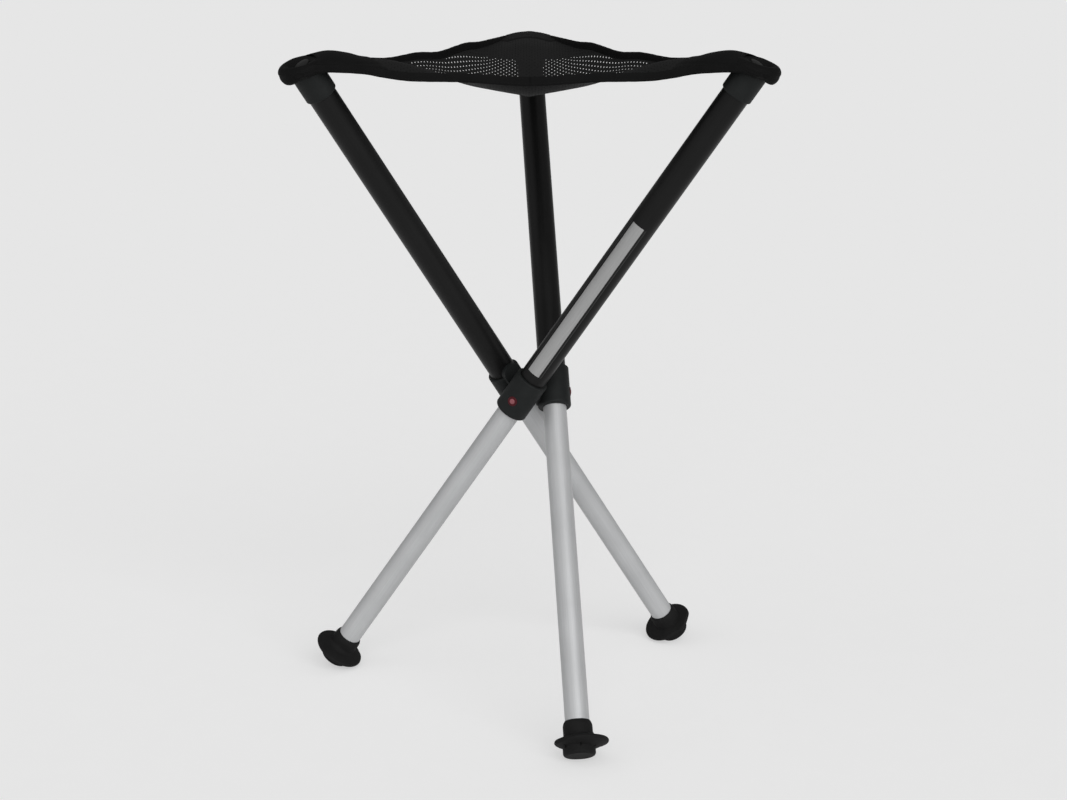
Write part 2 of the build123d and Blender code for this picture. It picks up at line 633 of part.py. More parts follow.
def make_hem_band(number):
    centre, radius = side_circle(number)
    with BuildPart() as hem_band:
        dish(BAND_BELOW, BAND_ABOVE)
        with BuildSketch():
            seat_outline()
            with Locations((centre.X, centre.Y)):
                Circle(radius + BAND_THICKNESS, mode=Mode.INTERSECT)
                Circle(radius, mode=Mode.SUBTRACT)
        extrude(amount=2 * PIVOT_HEIGHT + UPPER_TUBE_TOP, mode=Mode.INTERSECT)
        clear_pockets((number, number % len(LEGS) + 1))
    write(hem_band, f"hem_band_{number}")


os.makedirs("parts", exist_ok=True)
make_hub()
make_seat_mesh()
for leg_number in LEGS:
    own_plane = leg_plane(leg_number)
    make_pivot_washer(leg_number, own_plane)
    make_pivot_screw(leg_number, own_plane)
    make_collar(leg_number, own_plane)
    make_button(leg_number, own_plane)
    make_upper_tube(leg_number, own_plane)
    make_lower_tube(leg_number, own_plane)
    make_guide_plug(leg_number, own_plane)
    make_snap_spring(leg_number, own_plane)
    make_foot(leg_number, own_plane)
    make_socket(leg_number, own_plane)
    make_rivet(leg_number, own_plane)
    make_pocket(leg_number, own_plane)
    make_hem_band(leg_number)
make_label(leg_plane(LABEL_LEG))
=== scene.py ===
import json
from math import atan2, cos, hypot, pi, radians, sin, sqrt

import bmesh
import bpy
from mathutils import Matrix, Vector


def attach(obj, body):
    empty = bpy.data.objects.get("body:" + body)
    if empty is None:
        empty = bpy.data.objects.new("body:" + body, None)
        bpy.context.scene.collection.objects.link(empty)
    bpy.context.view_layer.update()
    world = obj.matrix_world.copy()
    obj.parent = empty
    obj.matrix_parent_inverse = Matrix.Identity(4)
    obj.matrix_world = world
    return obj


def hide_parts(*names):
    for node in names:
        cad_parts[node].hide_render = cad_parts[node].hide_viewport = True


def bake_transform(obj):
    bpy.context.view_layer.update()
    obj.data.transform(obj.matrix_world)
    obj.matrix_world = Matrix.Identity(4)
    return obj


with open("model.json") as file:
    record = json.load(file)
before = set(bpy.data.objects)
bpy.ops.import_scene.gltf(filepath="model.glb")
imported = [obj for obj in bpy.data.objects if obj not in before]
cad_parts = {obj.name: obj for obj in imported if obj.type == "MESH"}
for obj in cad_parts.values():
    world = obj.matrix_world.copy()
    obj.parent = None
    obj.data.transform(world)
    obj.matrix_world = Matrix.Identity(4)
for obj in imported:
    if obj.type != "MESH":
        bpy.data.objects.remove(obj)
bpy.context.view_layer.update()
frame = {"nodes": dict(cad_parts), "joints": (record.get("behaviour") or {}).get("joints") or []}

# Sizes are millimetres, heights are from the floor, and MM turns them into the scene's metres.
MM = 0.001
LEGS = (1, 2, 3)
LABEL_LEG = 3
BACK_LEG = 1
JOINTS = {joint["name"]: joint for joint in frame["joints"]}
AXIS = Vector(JOINTS["fold_1"]["pos_m"]) / MM
AXIS.z = 0

# Legs
LEG_OFFSET = 25.2
UPPER_TUBE_RADIUS = 14.0
SOCKET_RADIUS = 16.0
SOCKET_TOP = 419.0
RIVET_SEAT = 423.0
RIVET_HEAD_RADIUS = 7.5
BUTTON_NUB_RADIUS = 2.6
# Width over which the nub's painted highlight gives way to the ring's painted shade
BUTTON_HIGHLIGHT_EDGE = 0.3
LABEL_SILVER_WIDTH = 14.0
LABEL_FILM_WIDTH = 19.6
# Width of the painted highlight along the label film's edge
LABEL_EDGE_HIGHLIGHT = 0.5

# Seat in plan
SIDE_RADIUS = 97.0
CORNER_WIDTH = 48.0
CORNER_REACH = 219.7

# Heights of the cloth along the line from the stool's axis out to a corner: (reach, height)
SEAT_LOW = 620.0
SEAT_BOTTOM_ROUND = 26.0
RIDGE = {
    "front": (
        (0.0, SEAT_LOW), (12.0, 622.0), (38.0, 627.3), (60.0, 632.5), (100.0, 646.5), (150.0, 661.5),
        (185.0, 666.0), (200.0, 670.0), (220.0, 672.6), (247.0, 668.5),
    ),
    "back": (
        (0.0, SEAT_LOW), (12.0, 622.0), (38.0, 627.3), (60.0, 632.5), (100.0, 646.5), (125.0, 653.0),
        (150.0, 659.0), (175.0, 662.3), (200.0, 664.0), (220.0, 665.2), (236.0, 665.5), (247.0, 664.0),
    ),
}

# Hems: heights of the upper edge, from the middle of the front side, at 0, to a pocket, at 1,
# and along the other sides from the front pocket, at -1, to the back one, at 1
HEM_TOP_FRONT = (
    (0.0, 648.0), (0.3, 651.5), (0.55, 653.3), (0.67, 657.0), (0.76, 660.8), (0.9, 663.3), (1.0, 663.5)
)
HEM_TOP_SIDE = (
    (-1.0, 663.5), (-0.82, 664.2), (-0.6, 662.4), (-0.45, 660.6), (-0.25, 663.0), (-0.08, 661.4),
    (0.1, 665.0), (0.2, 666.4), (0.35, 665.2), (0.55, 665.2), (0.8, 664.2), (1.0, 662.6),
)
HEM_HEIGHT = ((0.0, 9.0), (0.3, 8.6), (1.0, 8.3))
HEM_THICKNESS = 2.4
HEM_STATIONS = 72
HEM_SECTION_POINTS = 16
HEM_PUCKER = 0.15
HEM_PUCKER_PITCH = 13.0
HEM_PUCKER_BEAT = 3.7  # pitches
HEM_PUCKER_RISE = 0.6  # of the pucker
HEM_POCKET_START = 0.85
HEM_POCKET_STAND = 0.6
HEM_WRAP = 27.0  # of the hem past its corner, round the pocket and into it
HEM_WRAP_STATIONS = 12
HEM_TUCK = 5.0
HEM_SINK = {"front": 0.0, "back": 5.5}

# Net and corner hoods. The net's holes are coarser than its real knit, so that they show.
NET_PITCH_ACROSS = 2.9
NET_PITCH_ALONG = 8.0
NET_HOLE_SHARE = 0.26
NET_THICKNESS = 0.3
NET_DROP = ((0.0, 5.4), (0.4, 5.2), (0.6, 4.4), (0.8, 2.5), (1.0, 1.5))  # of its edge from the hem's top
NET_REACH = 196.0
NET_MARGIN = 0.6
HOOD_INNER_REACH = {"front": 106.0, "back": 111.0}
HOOD_INNER_BOW = {"front": 0.0, "back": -55.0}
HOOD_BOW_POWER = 8
HOOD_OUTER_REACH = 236.0
HOOD_OUTER_BOW = 7.0
# Where it comes up through the net
HOOD_THROUGH = {"front": (171.0, 179.0), "back": (183.0, 191.0)}
HOOD_LIFT = 0.9
HOOD_THICKNESS = 1.0
HOOD_EDGE = 0.6  # inside the hem's outer face
HOOD_ROWS = 48
HOOD_COLUMNS = 36
HOOD_SEARCH_STEPS = 30

# Sewing
STITCH_PITCH = 3.4
STITCH_LENGTH = 2.6
STITCH_THICKNESS = 0.7
STITCH_SINK = 0.14
STITCH_MARGIN = 2.2
HOOD_SEAM = 3.0  # from the hood's edge

# Corner pockets
POCKET_LIFT = 14.0  # degrees
POCKET_CENTRE = 420.0
POCKET_RADIUS = 24.4
POCKET_ROLL = 7.2
POCKET_TOP = {"front": 8.2, "back": 4.4}
POCKET_UNDER = 6.8
POCKET_TIP_FULLNESS = 0.7
POCKET_INNER_SINK = {"front": 4.2, "back": 10.0}
POCKET_CROWN = {"front": 0.25, "back": 0.9}
POCKET_DROOP = {"front": 0.0, "back": 4.5}
POCKET_SEGMENTS = 72
POCKET_PRESSURE = 4.0
POCKET_SWELL = 1.6
CLOTH_GAP = 0.4
SIMULATION_FRAMES = 20

POCKET_MIDDLE_RADII = (3.0, 6.0)
POCKET_BORE_RADII = (11.0, 6.0, 3.0)
POCKET_DOME_STEPS = 6
POCKET_ROLL_STEPS = 12
POCKET_BORE_STEPS = 5
POCKET_TIP_START = 0.55  # of the pocket's radius
RIVET_PRESS = 0.3  # of the cloth, down under the rivet's head and up round it
RIVET_MARGIN = 0.4
DOME_MARGIN = 1.4

# Patterns in the finishes
TUBE_LINE = 0.7
TUBE_CLOUD = 60.0
MOULD_FLOW = 14.0
BUTTON_GRAIN = 0.6
LABEL_BRUSH = 0.5
CLOTH_WEAR = 25.0
NET_YARN = 0.8
STEEL_GRAIN = 0.7
FLOOR_SPECKLE = 40.0


def linear(code):
    """An sRGB hex colour as linear RGBA."""
    channels = [int(code[k : k + 2], 16) / 255 for k in (0, 2, 4)]
    return [c / 12.92 if c <= 0.04045 else ((c + 0.055) / 1.055) ** 2.4 for c in channels] + [1.0]


def add(tree, kind, inputs=None, **settings):
    """A node with its settings. An input takes a value, an output, or a node for its first output."""
    node = tree.nodes.new(kind)
    for name, value in settings.items():
        setattr(node, name, value)
    for name, value in (inputs or {}).items():
        socket = next(s for k, s in enumerate(node.inputs) if s.enabled and name in (k, s.name))
        if isinstance(value, bpy.types.Node):
            value = next(s for s in value.outputs if s.enabled)
        if isinstance(value, bpy.types.NodeSocket):
            tree.links.new(value, socket)
        else:
            socket.default_value = value
    return node


class Leg:
    """A leg's own frame: outward along its pivot, up along its axis, across square to both."""

    def __init__(self, number):
        self.number = number
        self.place = "back" if number == BACK_LEG else "front"
        self.outward = Vector(JOINTS[f"fold_{number}"]["axis"])
        self.up = Vector(JOINTS[f"telescope_{number}"]["axis"]).normalized()
        self.across = self.up.cross(self.outward)
        self.origin = Vector(JOINTS[f"fold_{number}"]["pos_m"]) / MM + self.outward * LEG_OFFSET
        self.turn = Matrix((self.outward, self.across, self.up)).transposed()
        lift = radians(POCKET_LIFT)
        self.pocket_up = self.up * cos(lift) - self.across * sin(lift)
        self.pocket_across = self.pocket_up.cross(self.outward)
        self.pocket_centre = self.at(0, 0, POCKET_CENTRE)
        plan = self.pocket_centre - AXIS
        self.corner = atan2(plan.y, plan.x)
        self.corner_reach = hypot(plan.x, plan.y)
        self.corner_direction = Vector((cos(self.corner), sin(self.corner), 0))

    def at(self, outward, across, up):
        return self.origin + self.outward * outward + self.across * across + self.up * up

    def on_pocket(self, outward, across, up):
        """A point in the pocket's frame, whose across runs out to the pocket's tip."""
        beside = self.pocket_centre + self.outward * outward
        return beside + self.pocket_across * across + self.pocket_up * up


legs = {number: Leg(number) for number in LEGS}

# Materials


def new_material(name):
    material = bpy.data.materials.new(name)
    material.use_nodes = True
    tree = material.node_tree
    tree.nodes.clear()
    return material, tree


def close_material(tree, surface):
    """Ends a material in one surface, given as the inputs of its shader."""
    shader = add(tree, "ShaderNodeBsdfPrincipled", surface)
    add(tree, "ShaderNodeOutputMaterial", {"Surface": shader})


def leg_coordinates(tree, leg):
    """Object coordinates turned into the leg's frame: X outward, Y across, Z up the leg, in metres."""
    place = add(tree, "ShaderNodeTexCoord").outputs["Object"]
    turned = {"Vector": place, "Location": leg.origin * MM, "Rotation": leg.turn.to_euler()}
    return add(tree, "ShaderNodeMapping", turned, vector_type="TEXTURE")


def drawn_aluminium(name, leg, dark, pale, metallic, roughness, specular):
    """Drawn aluminium tube: fine lines along the leg, and a soft cloudiness from its anodising."""
    material, tree = new_material(name)
    place = leg_coordinates(tree, leg)
    stretch = add(tree, "ShaderNodeMapping", {"Vector": place, "Scale": (1, 1, 0.01)})
    fine = {"Vector": stretch, "Scale": 1 / (TUBE_LINE * MM), "Detail": 3.0}
    lines = add(tree, "ShaderNodeTexNoise", fine)
    broad = {"Vector": place, "Scale": 1 / (TUBE_CLOUD * MM), "Detail": 4.0}
    cloud = add(tree, "ShaderNodeTexNoise", broad)
    both = add(tree, "ShaderNodeMath", {0: lines, 1: cloud}, operation="MULTIPLY")
    tone = add(tree, "ShaderNodeMapRange", {"Value": both, "To Min": -0.3, "To Max": 1.6})
    shades = {"Factor": tone, "A": linear(dark), "B": linear(pale)}
    colour = add(tree, "ShaderNodeMix", shades, data_type="RGBA")
    satin = {"Value": lines, "To Min": roughness - 0.06, "To Max": roughness + 0.06}
    surface = {
        "Base Color": colour,
        "Metallic": metallic,
        "Roughness": add(tree, "ShaderNodeMapRange", satin),
        "Specular IOR Level": specular,
        "Normal": add(tree, "ShaderNodeBump", {"Height": lines, "Strength": 0.12, "Distance": 0.03 * MM}),
    }
    close_material(tree, surface)
    return material


def moulded_finish(name, dark, pale, grain_mm, roughness, specular):
    """Moulded plastic or rubber: a fine pebbled grain with slightly paler flow marks."""
    material, tree = new_material(name)
    place = add(tree, "ShaderNodeTexCoord").outputs["Object"]
    grain = add(tree, "ShaderNodeTexVoronoi", {"Vector": place, "Scale": 1 / (grain_mm * MM)})
    flow = add(tree, "ShaderNodeTexNoise", {"Vector": place, "Scale": 1 / (MOULD_FLOW * MM), "Detail": 5.0})
    tone = add(tree, "ShaderNodeMapRange", {"Value": flow, "To Min": -0.2, "To Max": 1.2})
    shades = {"Factor": tone, "A": linear(dark), "B": linear(pale)}
    colour = add(tree, "ShaderNodeMix", shades, data_type="RGBA")
    sheen = {"Value": flow, "To Min": roughness - 0.08, "To Max": roughness + 0.08}
    surface = {
        "Base Color": colour,
        "Roughness": add(tree, "ShaderNodeMapRange", sheen),
        "Specular IOR Level": specular,
        "Normal": add(tree, "ShaderNodeBump", {"Height": grain, "Strength": 0.25, "Distance": 0.08 * MM}),
    }
    close_material(tree, surface)
    return material


def button_plastic(leg):
    """Red moulded button: a painted highlight makes the nub paler, and painted shade deepens the red ring
    round it.
    """
    material, tree = new_material(f"red_abs_button_{leg.number}")
    place = leg_coordinates(tree, leg)
    split = add(tree, "ShaderNodeSeparateXYZ", {"Vector": place}).outputs
    flat = add(tree, "ShaderNodeCombineXYZ", {"X": split["Y"], "Y": split["Z"]})
    radius = add(tree, "ShaderNodeVectorMath", {0: flat}, operation="LENGTH")
    # The button's red is painted paler on the nub, as the dome's highlight, and deeper in the ring round
    # it, as its shade.
    highlight_edge = {
        "Value": radius,
        "From Min": BUTTON_NUB_RADIUS * MM,
        "From Max": (BUTTON_NUB_RADIUS + BUTTON_HIGHLIGHT_EDGE) * MM,
    }
    ring = add(tree, "ShaderNodeMapRange", highlight_edge)
    highlight_and_shade_reds = {"Factor": ring, "A": linear("965A60"), "B": linear("480A14")}
    colour = add(tree, "ShaderNodeMix", highlight_and_shade_reds, data_type="RGBA")
    fine = {"Vector": place, "Scale": 1 / (BUTTON_GRAIN * MM), "Detail": 3.0}
    grain = add(tree, "ShaderNodeTexNoise", fine)
    surface = {
        "Base Color": colour,
        "Roughness": add(tree, "ShaderNodeMapRange", {"Value": grain, "To Min": 0.45, "To Max": 0.6}),
        "Specular IOR Level": 0.25,
        "Normal": add(tree, "ShaderNodeBump", {"Height": grain, "Strength": 0.1, "Distance": 0.05 * MM}),
    }
    close_material(tree, surface)
    return material


def label_film(leg):
    """Brushed silver film under a clear overlay, its edge a painted highlight: a thin grey line on the
    black.
    """
    material, tree = new_material("brushed_label_film")
    place = leg_coordinates(tree, leg)
    split = add(tree, "ShaderNodeSeparateXYZ", {"Vector": place}).outputs
    offset = add(tree, "ShaderNodeMath", {0: split["Y"]}, operation="ABSOLUTE")
    silver_edge = UPPER_TUBE_RADIUS * sin(LABEL_SILVER_WIDTH / 2 / UPPER_TUBE_RADIUS)
    film_edge = UPPER_TUBE_RADIUS * sin((LABEL_FILM_WIDTH / 2 - LABEL_EDGE_HIGHLIGHT) / UPPER_TUBE_RADIUS)
    silver = add(tree, "ShaderNodeMath", {0: offset, 1: silver_edge * MM}, operation="LESS_THAN")
    # The thin grey line along the film's edge is a painted highlight, where the clear film's edge catches
    # the light.
    line = add(tree, "ShaderNodeMath", {0: offset, 1: film_edge * MM}, operation="GREATER_THAN")
    stretch = add(tree, "ShaderNodeMapping", {"Vector": place, "Scale": (1, 1, 0.02)})
    fine = {"Vector": stretch, "Scale": 1 / (LABEL_BRUSH * MM), "Detail": 4.0}
    brush = add(tree, "ShaderNodeTexNoise", fine)
    silvers = {"Factor": brush, "A": linear("9A9A9A"), "B": linear("B9B9B9")}
    brushed = add(tree, "ShaderNodeMix", silvers, data_type="RGBA")
    # The label's black margin, with the grey of the painted edge highlight.
    blacks = {"Factor": line, "A": linear("101010"), "B": linear("3C3C3C")}
    margin = add(tree, "ShaderNodeMix", blacks, data_type="RGBA")
    both = {"Factor": silver, "A": margin, "B": brushed}
    surface = {
        "Base Color": add(tree, "ShaderNodeMix", both, data_type="RGBA"),
        "Metallic": add(tree, "ShaderNodeMapRange", {"Value": silver, "To Min": 0.0, "To Max": 0.6}),
        "Roughness": add(tree, "ShaderNodeMapRange", {"Value": brush, "To Min": 0.36, "To Max": 0.5}),
        "Specular IOR Level": 0.3,
    }
    close_material(tree, surface)
    return material


def woven_cloth(name, dark, pale, thread_mm, roughness):
    """Woven polyester: threads over and under each other, in the piece's own UV map in metres.

    The threads are drawn coarser than real ones, so that they show.
    """
    material, tree = new_material(name)
    place = add(tree, "ShaderNodeTexCoord").outputs["UV"]
    split = add(tree, "ShaderNodeSeparateXYZ", {"Vector": place}).outputs
    turns = pi / (thread_mm * MM)
    waves = []
    for axis in "XY":
        phase = add(tree, "ShaderNodeMath", {0: split[axis], 1: turns}, operation="MULTIPLY")
        waves.append(add(tree, "ShaderNodeMath", {0: phase}, operation="SINE"))
    crossing = add(tree, "ShaderNodeMath", {0: waves[0], 1: waves[1]}, operation="MULTIPLY")
    threads = add(tree, "ShaderNodeMapRange", {"Value": crossing, "From Min": -1.0})
    wear = add(tree, "ShaderNodeTexNoise", {"Vector": place, "Scale": 1 / (CLOTH_WEAR * MM), "Detail": 4.0})
    both = add(tree, "ShaderNodeMath", {0: threads, 1: wear}, operation="MULTIPLY")
    tone = add(tree, "ShaderNodeMapRange", {"Value": both, "To Max": 1.6})
    shades = {"Factor": tone, "A": linear(dark), "B": linear(pale)}
    colour = add(tree, "ShaderNodeMix", shades, data_type="RGBA")
    relief = {"Height": threads, "Strength": 0.5, "Distance": thread_mm / 3 * MM}
    surface = {
        "Base Color": colour,
        "Roughness": roughness,
        "Specular IOR Level": 0.1,
        "Normal": add(tree, "ShaderNodeBump", relief),
    }
    close_material(tree, surface)
    return material


def knitted_net():
    """Knitted polyester net: matt black yarn, a little paler where the yarn is proud."""
    material, tree = new_material("knitted_net")
    place = add(tree, "ShaderNodeTexCoord").outputs["Object"]
    yarn = add(tree, "ShaderNodeTexNoise", {"Vector": place, "Scale": 1 / (NET_YARN * MM), "Detail": 3.0})
    blacks = {"Factor": yarn, "A": linear("151515"), "B": linear("252525")}
    colour = add(tree, "ShaderNodeMix", blacks, data_type="RGBA")
    surface = {
        "Base Color": colour,
        "Roughness": add(tree, "ShaderNodeMapRange", {"Value": yarn, "To Min": 0.7, "To Max": 0.85}),
        "Specular IOR Level": 0.1,
        "Normal": add(tree, "ShaderNodeBump", {"Height": yarn, "Strength": 0.4, "Distance": 0.1 * MM}),
    }
    close_material(tree, surface)
    return material


def plain_steel(name, dark, pale, roughness):
    """Machined or pressed steel: a fine grain over an even grey."""
    material, tree = new_material(name)
    place = add(tree, "ShaderNodeTexCoord").outputs["Object"]
    fine = {"Vector": place, "Scale": 1 / (STEEL_GRAIN * MM), "Detail": 4.0}
    grain = add(tree, "ShaderNodeTexNoise", fine)
    shades = {"Factor": grain, "A": linear(dark), "B": linear(pale)}
    colour = add(tree, "ShaderNodeMix", shades, data_type="RGBA")
    satin = {"Value": grain, "To Min": roughness - 0.08, "To Max": roughness + 0.08}
    surface = {
        "Base Color": colour,
        "Metallic": 0.9,
        "Roughness": add(tree, "ShaderNodeMapRange", satin),
    }
    close_material(tree, surface)
    return material


def dress(node, material):
    """Gives a CAD node its finish."""
    slots = frame["nodes"][node].data.materials
    slots.clear()
    slots.append(material)


moulding = moulded_finish("moulded_nylon_black", "181A1A", "252727", 0.7, 0.55, 0.15)
rubber = moulded_finish("moulded_rubber_black", "131313", "1F1F1F", 0.9, 0.75, 0.15)
rivet_paint = moulded_finish("painted_rivet_grey", "191919", "222222", 0.5, 0.5, 0.2)
plug_plastic = moulded_finish("moulded_guide_plug", "2A2A2A", "363636", 0.7, 0.5, 0.3)
thread = moulded_finish("sewing_thread_black", "101010", "1C1C1C", 0.3, 0.6, 0.1)
zinc_steel = plain_steel("zinc_plated_steel", "8A8C8E", "A8AAAC", 0.35)
spring_steel = plain_steel("spring_steel", "6C6E70", "8C8E90", 0.3)
net_yarn = knitted_net()
hem_tape = woven_cloth("woven_hem_tape", "0A0A0A", "1A1A1A", 0.9, 0.8)
pocket_cloth = woven_cloth("woven_pocket_cloth", "090909", "181818", 0.7, 0.75)

dress("hub", moulding)
for number, leg in legs.items():
    black_tube = drawn_aluminium(
        f"black_anodised_tube_{number}", leg, "0B0B0B", "191919", metallic=0.0, roughness=0.42, specular=0.2
    )
    silver_tube = drawn_aluminium(
        f"satin_anodised_tube_{number}", leg, "C4C5C6", "DCDDDE", metallic=0.4, roughness=0.5, specular=0.4
    )
    dress(f"upper_tube_{number}", black_tube)
    dress(f"lower_tube_{number}", silver_tube)
    dress(f"collar_{number}", moulding)
    dress(f"leg_socket_{number}", moulding)
    dress(f"release_button_{number}", button_plastic(leg))
    dress(f"pivot_washer_{number}", zinc_steel)
    dress(f"pivot_screw_{number}", zinc_steel)
    dress(f"guide_plug_{number}", plug_plastic)
    dress(f"snap_spring_{number}", spring_steel)
    dress(f"foot_{number}", rubber)
    dress(f"pocket_rivet_{number}", rivet_paint)
dress("label_strip", label_film(legs[LABEL_LEG]))

# Seat geometry


def smooth_through(points, place):
    """A smooth curve through (place, value) points, level at both ends."""
    slopes = [0.0]
    for before, after in zip(points, points[2:]):
        slopes.append((after[1] - before[1]) / (after[0] - before[0]))
    slopes.append(0.0)
    last = len(points) - 2
    for k in range(last + 1):
        (start, low), (end, high) = points[k], points[k + 1]
        if place <= end or k == last:
            span = end - start
            x = min(max((place - start) / span, 0.0), 1.0)
            ease = x * x * (3 - 2 * x)
            leave = slopes[k] * span * x * (1 - x) ** 2
            arrive = slopes[k + 1] * span * x * x * (x - 1)
            return low + (high - low) * ease + leave + arrive


def ramp(value, start, end):
    """0 before start, 1 after end, and smooth between them."""
    x = min(max((value - start) / (end - start), 0.0), 1.0)
    return x * x * (3 - 2 * x)


class Side:
    """A drawn-in side of the seat, an arc in plan from one corner to the next."""

    def __init__(self, number):
        self.legs = (legs[number], legs[number % len(LEGS) + 1])
        self.middle = self.legs[0].corner + pi / 3
        self.out = Vector((cos(self.middle), sin(self.middle), 0))
        half_corner = CORNER_WIDTH / 2
        reach = self.legs[0].corner_reach
        chord = reach * cos(pi / 3) + half_corner * sin(pi / 3)
        half_chord = reach * sin(pi / 3) - half_corner * cos(pi / 3)
        draw_in = chord - SIDE_RADIUS
        self.radius = (half_chord**2 + draw_in**2) / (2 * draw_in)
        self.distance = SIDE_RADIUS + self.radius
        self.half_angle = atan2(half_chord, self.radius - draw_in)
        self.half_length = self.radius * self.half_angle

    def leg_at(self, place):
        return self.legs[0 if place < 0 else 1]

    def plan(self, place):
        """The point in plan, from the stool's axis, and the outward direction there. Place is -1 to 1."""
        angle = self.middle + pi - place * self.half_angle
        spoke = Vector((cos(angle), sin(angle), 0))
        return self.out * self.distance + spoke * self.radius, -spoke

    def top(self, place):
        """Height of the hem's upper edge."""
        if legs[BACK_LEG] not in self.legs:
            return smooth_through(HEM_TOP_FRONT, abs(place))
        return smooth_through(HEM_TOP_SIDE, place if self.legs[1].number == BACK_LEG else -place)

    def meet(self, turn):
        """Where a ray from the axis, turned from the middle of the side, meets the arc: reach and place."""
        inside = max(self.radius**2 - (self.distance * sin(turn)) ** 2, 0.0)
        reach = self.distance * cos(turn) - sqrt(inside)
        place = atan2(reach * sin(turn), self.distance - reach * cos(turn)) / self.half_angle
        return reach, min(max(place, -1.0), 1.0)

    def inside(self, point):
        """How far a point in plan lies inside the arc."""
        return (self.out * self.distance - point).length - self.radius

    def keep_inside(self, point, margin):
        """The point, or the nearest one that lies inside the arc by a margin."""
        centre = self.out * self.distance
        spoke = point - centre
        spoke.length = max(spoke.length, self.radius + margin)
        return centre + spoke


sides = {number: Side(number) for number in LEGS}


def sides_at(leg):
    """The sides that start and end at a leg's corner."""
    return sides[leg.number], sides[(leg.number - 2) % len(LEGS) + 1]


def seat_edge(direction):
    """Reach and height of the seat's edge in a direction from the axis."""
    turns = {n: (direction - side.middle + pi) % (2 * pi) - pi for n, side in sides.items()}
    nearest = min(turns, key=lambda n: abs(turns[n]))
    side, turn = sides[nearest], turns[nearest]
    reach, place = side.meet(turn)
    height = side.top(place) - smooth_through(NET_DROP, abs(place))
    return min(reach, CORNER_REACH / cos(pi / 3 - abs(turn))), height


def seat_height(point):
    """Height of the seat's cloth at a point in plan: a dish, arched up to a ridge towards each corner."""
    reach, height = seat_edge(atan2(point.y, point.x))

    def rounded(distance):
        return sqrt(distance**2 + SEAT_BOTTOM_ROUND**2) - SEAT_BOTTOM_ROUND

    dish = SEAT_LOW + (height - SEAT_LOW) * min(rounded(point.length) / rounded(reach), 1.0)
    leg = max(legs.values(), key=lambda leg: point.dot(leg.corner_direction))
    ahead, behind = (max(side.inside(point), 0.0) for side in sides_at(leg))
    arch = 4 * ahead * behind / max(ahead + behind, 1.0) ** 2
    ridge = smooth_through(RIDGE[leg.place], point.dot(leg.corner_direction))
    return dish + (ridge - dish) * arch


# Making pieces


def make_piece(name, points, faces, material, uvs=None, edges=()):
    """An object whose points are in millimetres in the shared frame. The UV map, if any, is in metres."""
    mesh = bpy.data.meshes.new(name)
    mesh.from_pydata([Vector(p) * MM for p in points], edges, faces)
    if uvs is not None:
        layer = mesh.uv_layers.new(name="cut")
        for loop in mesh.loops:
            layer.data[loop.index].uv = Vector(uvs[loop.vertex_index]) * MM
    mesh.materials.append(material)
    mesh.shade_smooth()
    mesh.update()
    piece = bpy.data.objects.new(name, mesh)
    bpy.context.scene.collection.objects.link(piece)
    return piece


def face_outward(piece):
    shape = bmesh.new()
    shape.from_mesh(piece.data)
    bmesh.ops.recalc_face_normals(shape, faces=shape.faces)
    shape.to_mesh(piece.data)
    shape.free()
    return piece


def settle(piece):
    """Makes the piece's evaluated shape its plain mesh."""
    graph = bpy.context.evaluated_depsgraph_get()
    mesh = bpy.data.meshes.new_from_object(piece.evaluated_get(graph))
    piece.modifiers.clear()
    piece.data = mesh
    mesh.shade_smooth()
    return piece


def thicken(piece, thickness):
    solidify = piece.modifiers.new("thickness", "SOLIDIFY")
    solidify.thickness = thickness * MM
    solidify.offset = 0
    return settle(piece)


def grow(piece, tree, values):
    """Runs a node tree on the piece, with these inputs, and keeps the result as its mesh."""
    modifier = piece.modifiers.new(tree.name, "NODES")
    modifier.node_group = tree
    for socket in tree.interface.items_tree:
        if socket.in_out == "INPUT" and socket.name in values:
            modifier[socket.identifier] = values[socket.name]
    return settle(piece)


def new_geometry_tree(name, sizes):
    """A node tree that takes a shape, named sizes and a material, and gives a shape."""
    tree = bpy.data.node_groups.new(name, "GeometryNodeTree")
    tree.interface.new_socket("Geometry", in_out="INPUT", socket_type="NodeSocketGeometry")
    for size in sizes:
        tree.interface.new_socket(size, in_out="INPUT", socket_type="NodeSocketFloat")
    tree.interface.new_socket("Material", in_out="INPUT", socket_type="NodeSocketMaterial")
    tree.interface.new_socket("Geometry", in_out="OUTPUT", socket_type="NodeSocketGeometry")
    return tree, add(tree, "NodeGroupInput").outputs


def close_geometry_tree(tree, shape, material):
    real = add(tree, "GeometryNodeRealizeInstances", {"Geometry": shape})
    painted = add(tree, "GeometryNodeSetMaterial", {"Geometry": real, "Material": material})
    add(tree, "NodeGroupOutput", {"Geometry": painted})


def make_net_tree():
    """Six-sided meshes of a net, one round each point of a triangle grid."""
    tree, given = new_geometry_tree("net", ["Hole Share"])
    cells = add(tree, "GeometryNodeDualMesh", {"Mesh": given["Geometry"]})
    inset = {"Mesh": cells, "Offset Scale": 0.0, "Individual": True}
    rims = add(tree, "GeometryNodeExtrudeMesh", inset, mode="FACES").outputs
    shrink = {"Geometry": rims["Mesh"], "Selection": rims["Top"], "Scale": given["Hole Share"]}
    holes = add(tree, "GeometryNodeScaleElements", shrink)
    cut = {"Geometry": holes, "Selection": rims["Top"]}
    open_net = add(tree, "GeometryNodeDeleteGeometry", cut, domain="FACE")
    close_geometry_tree(tree, open_net, given["Material"])
    return tree


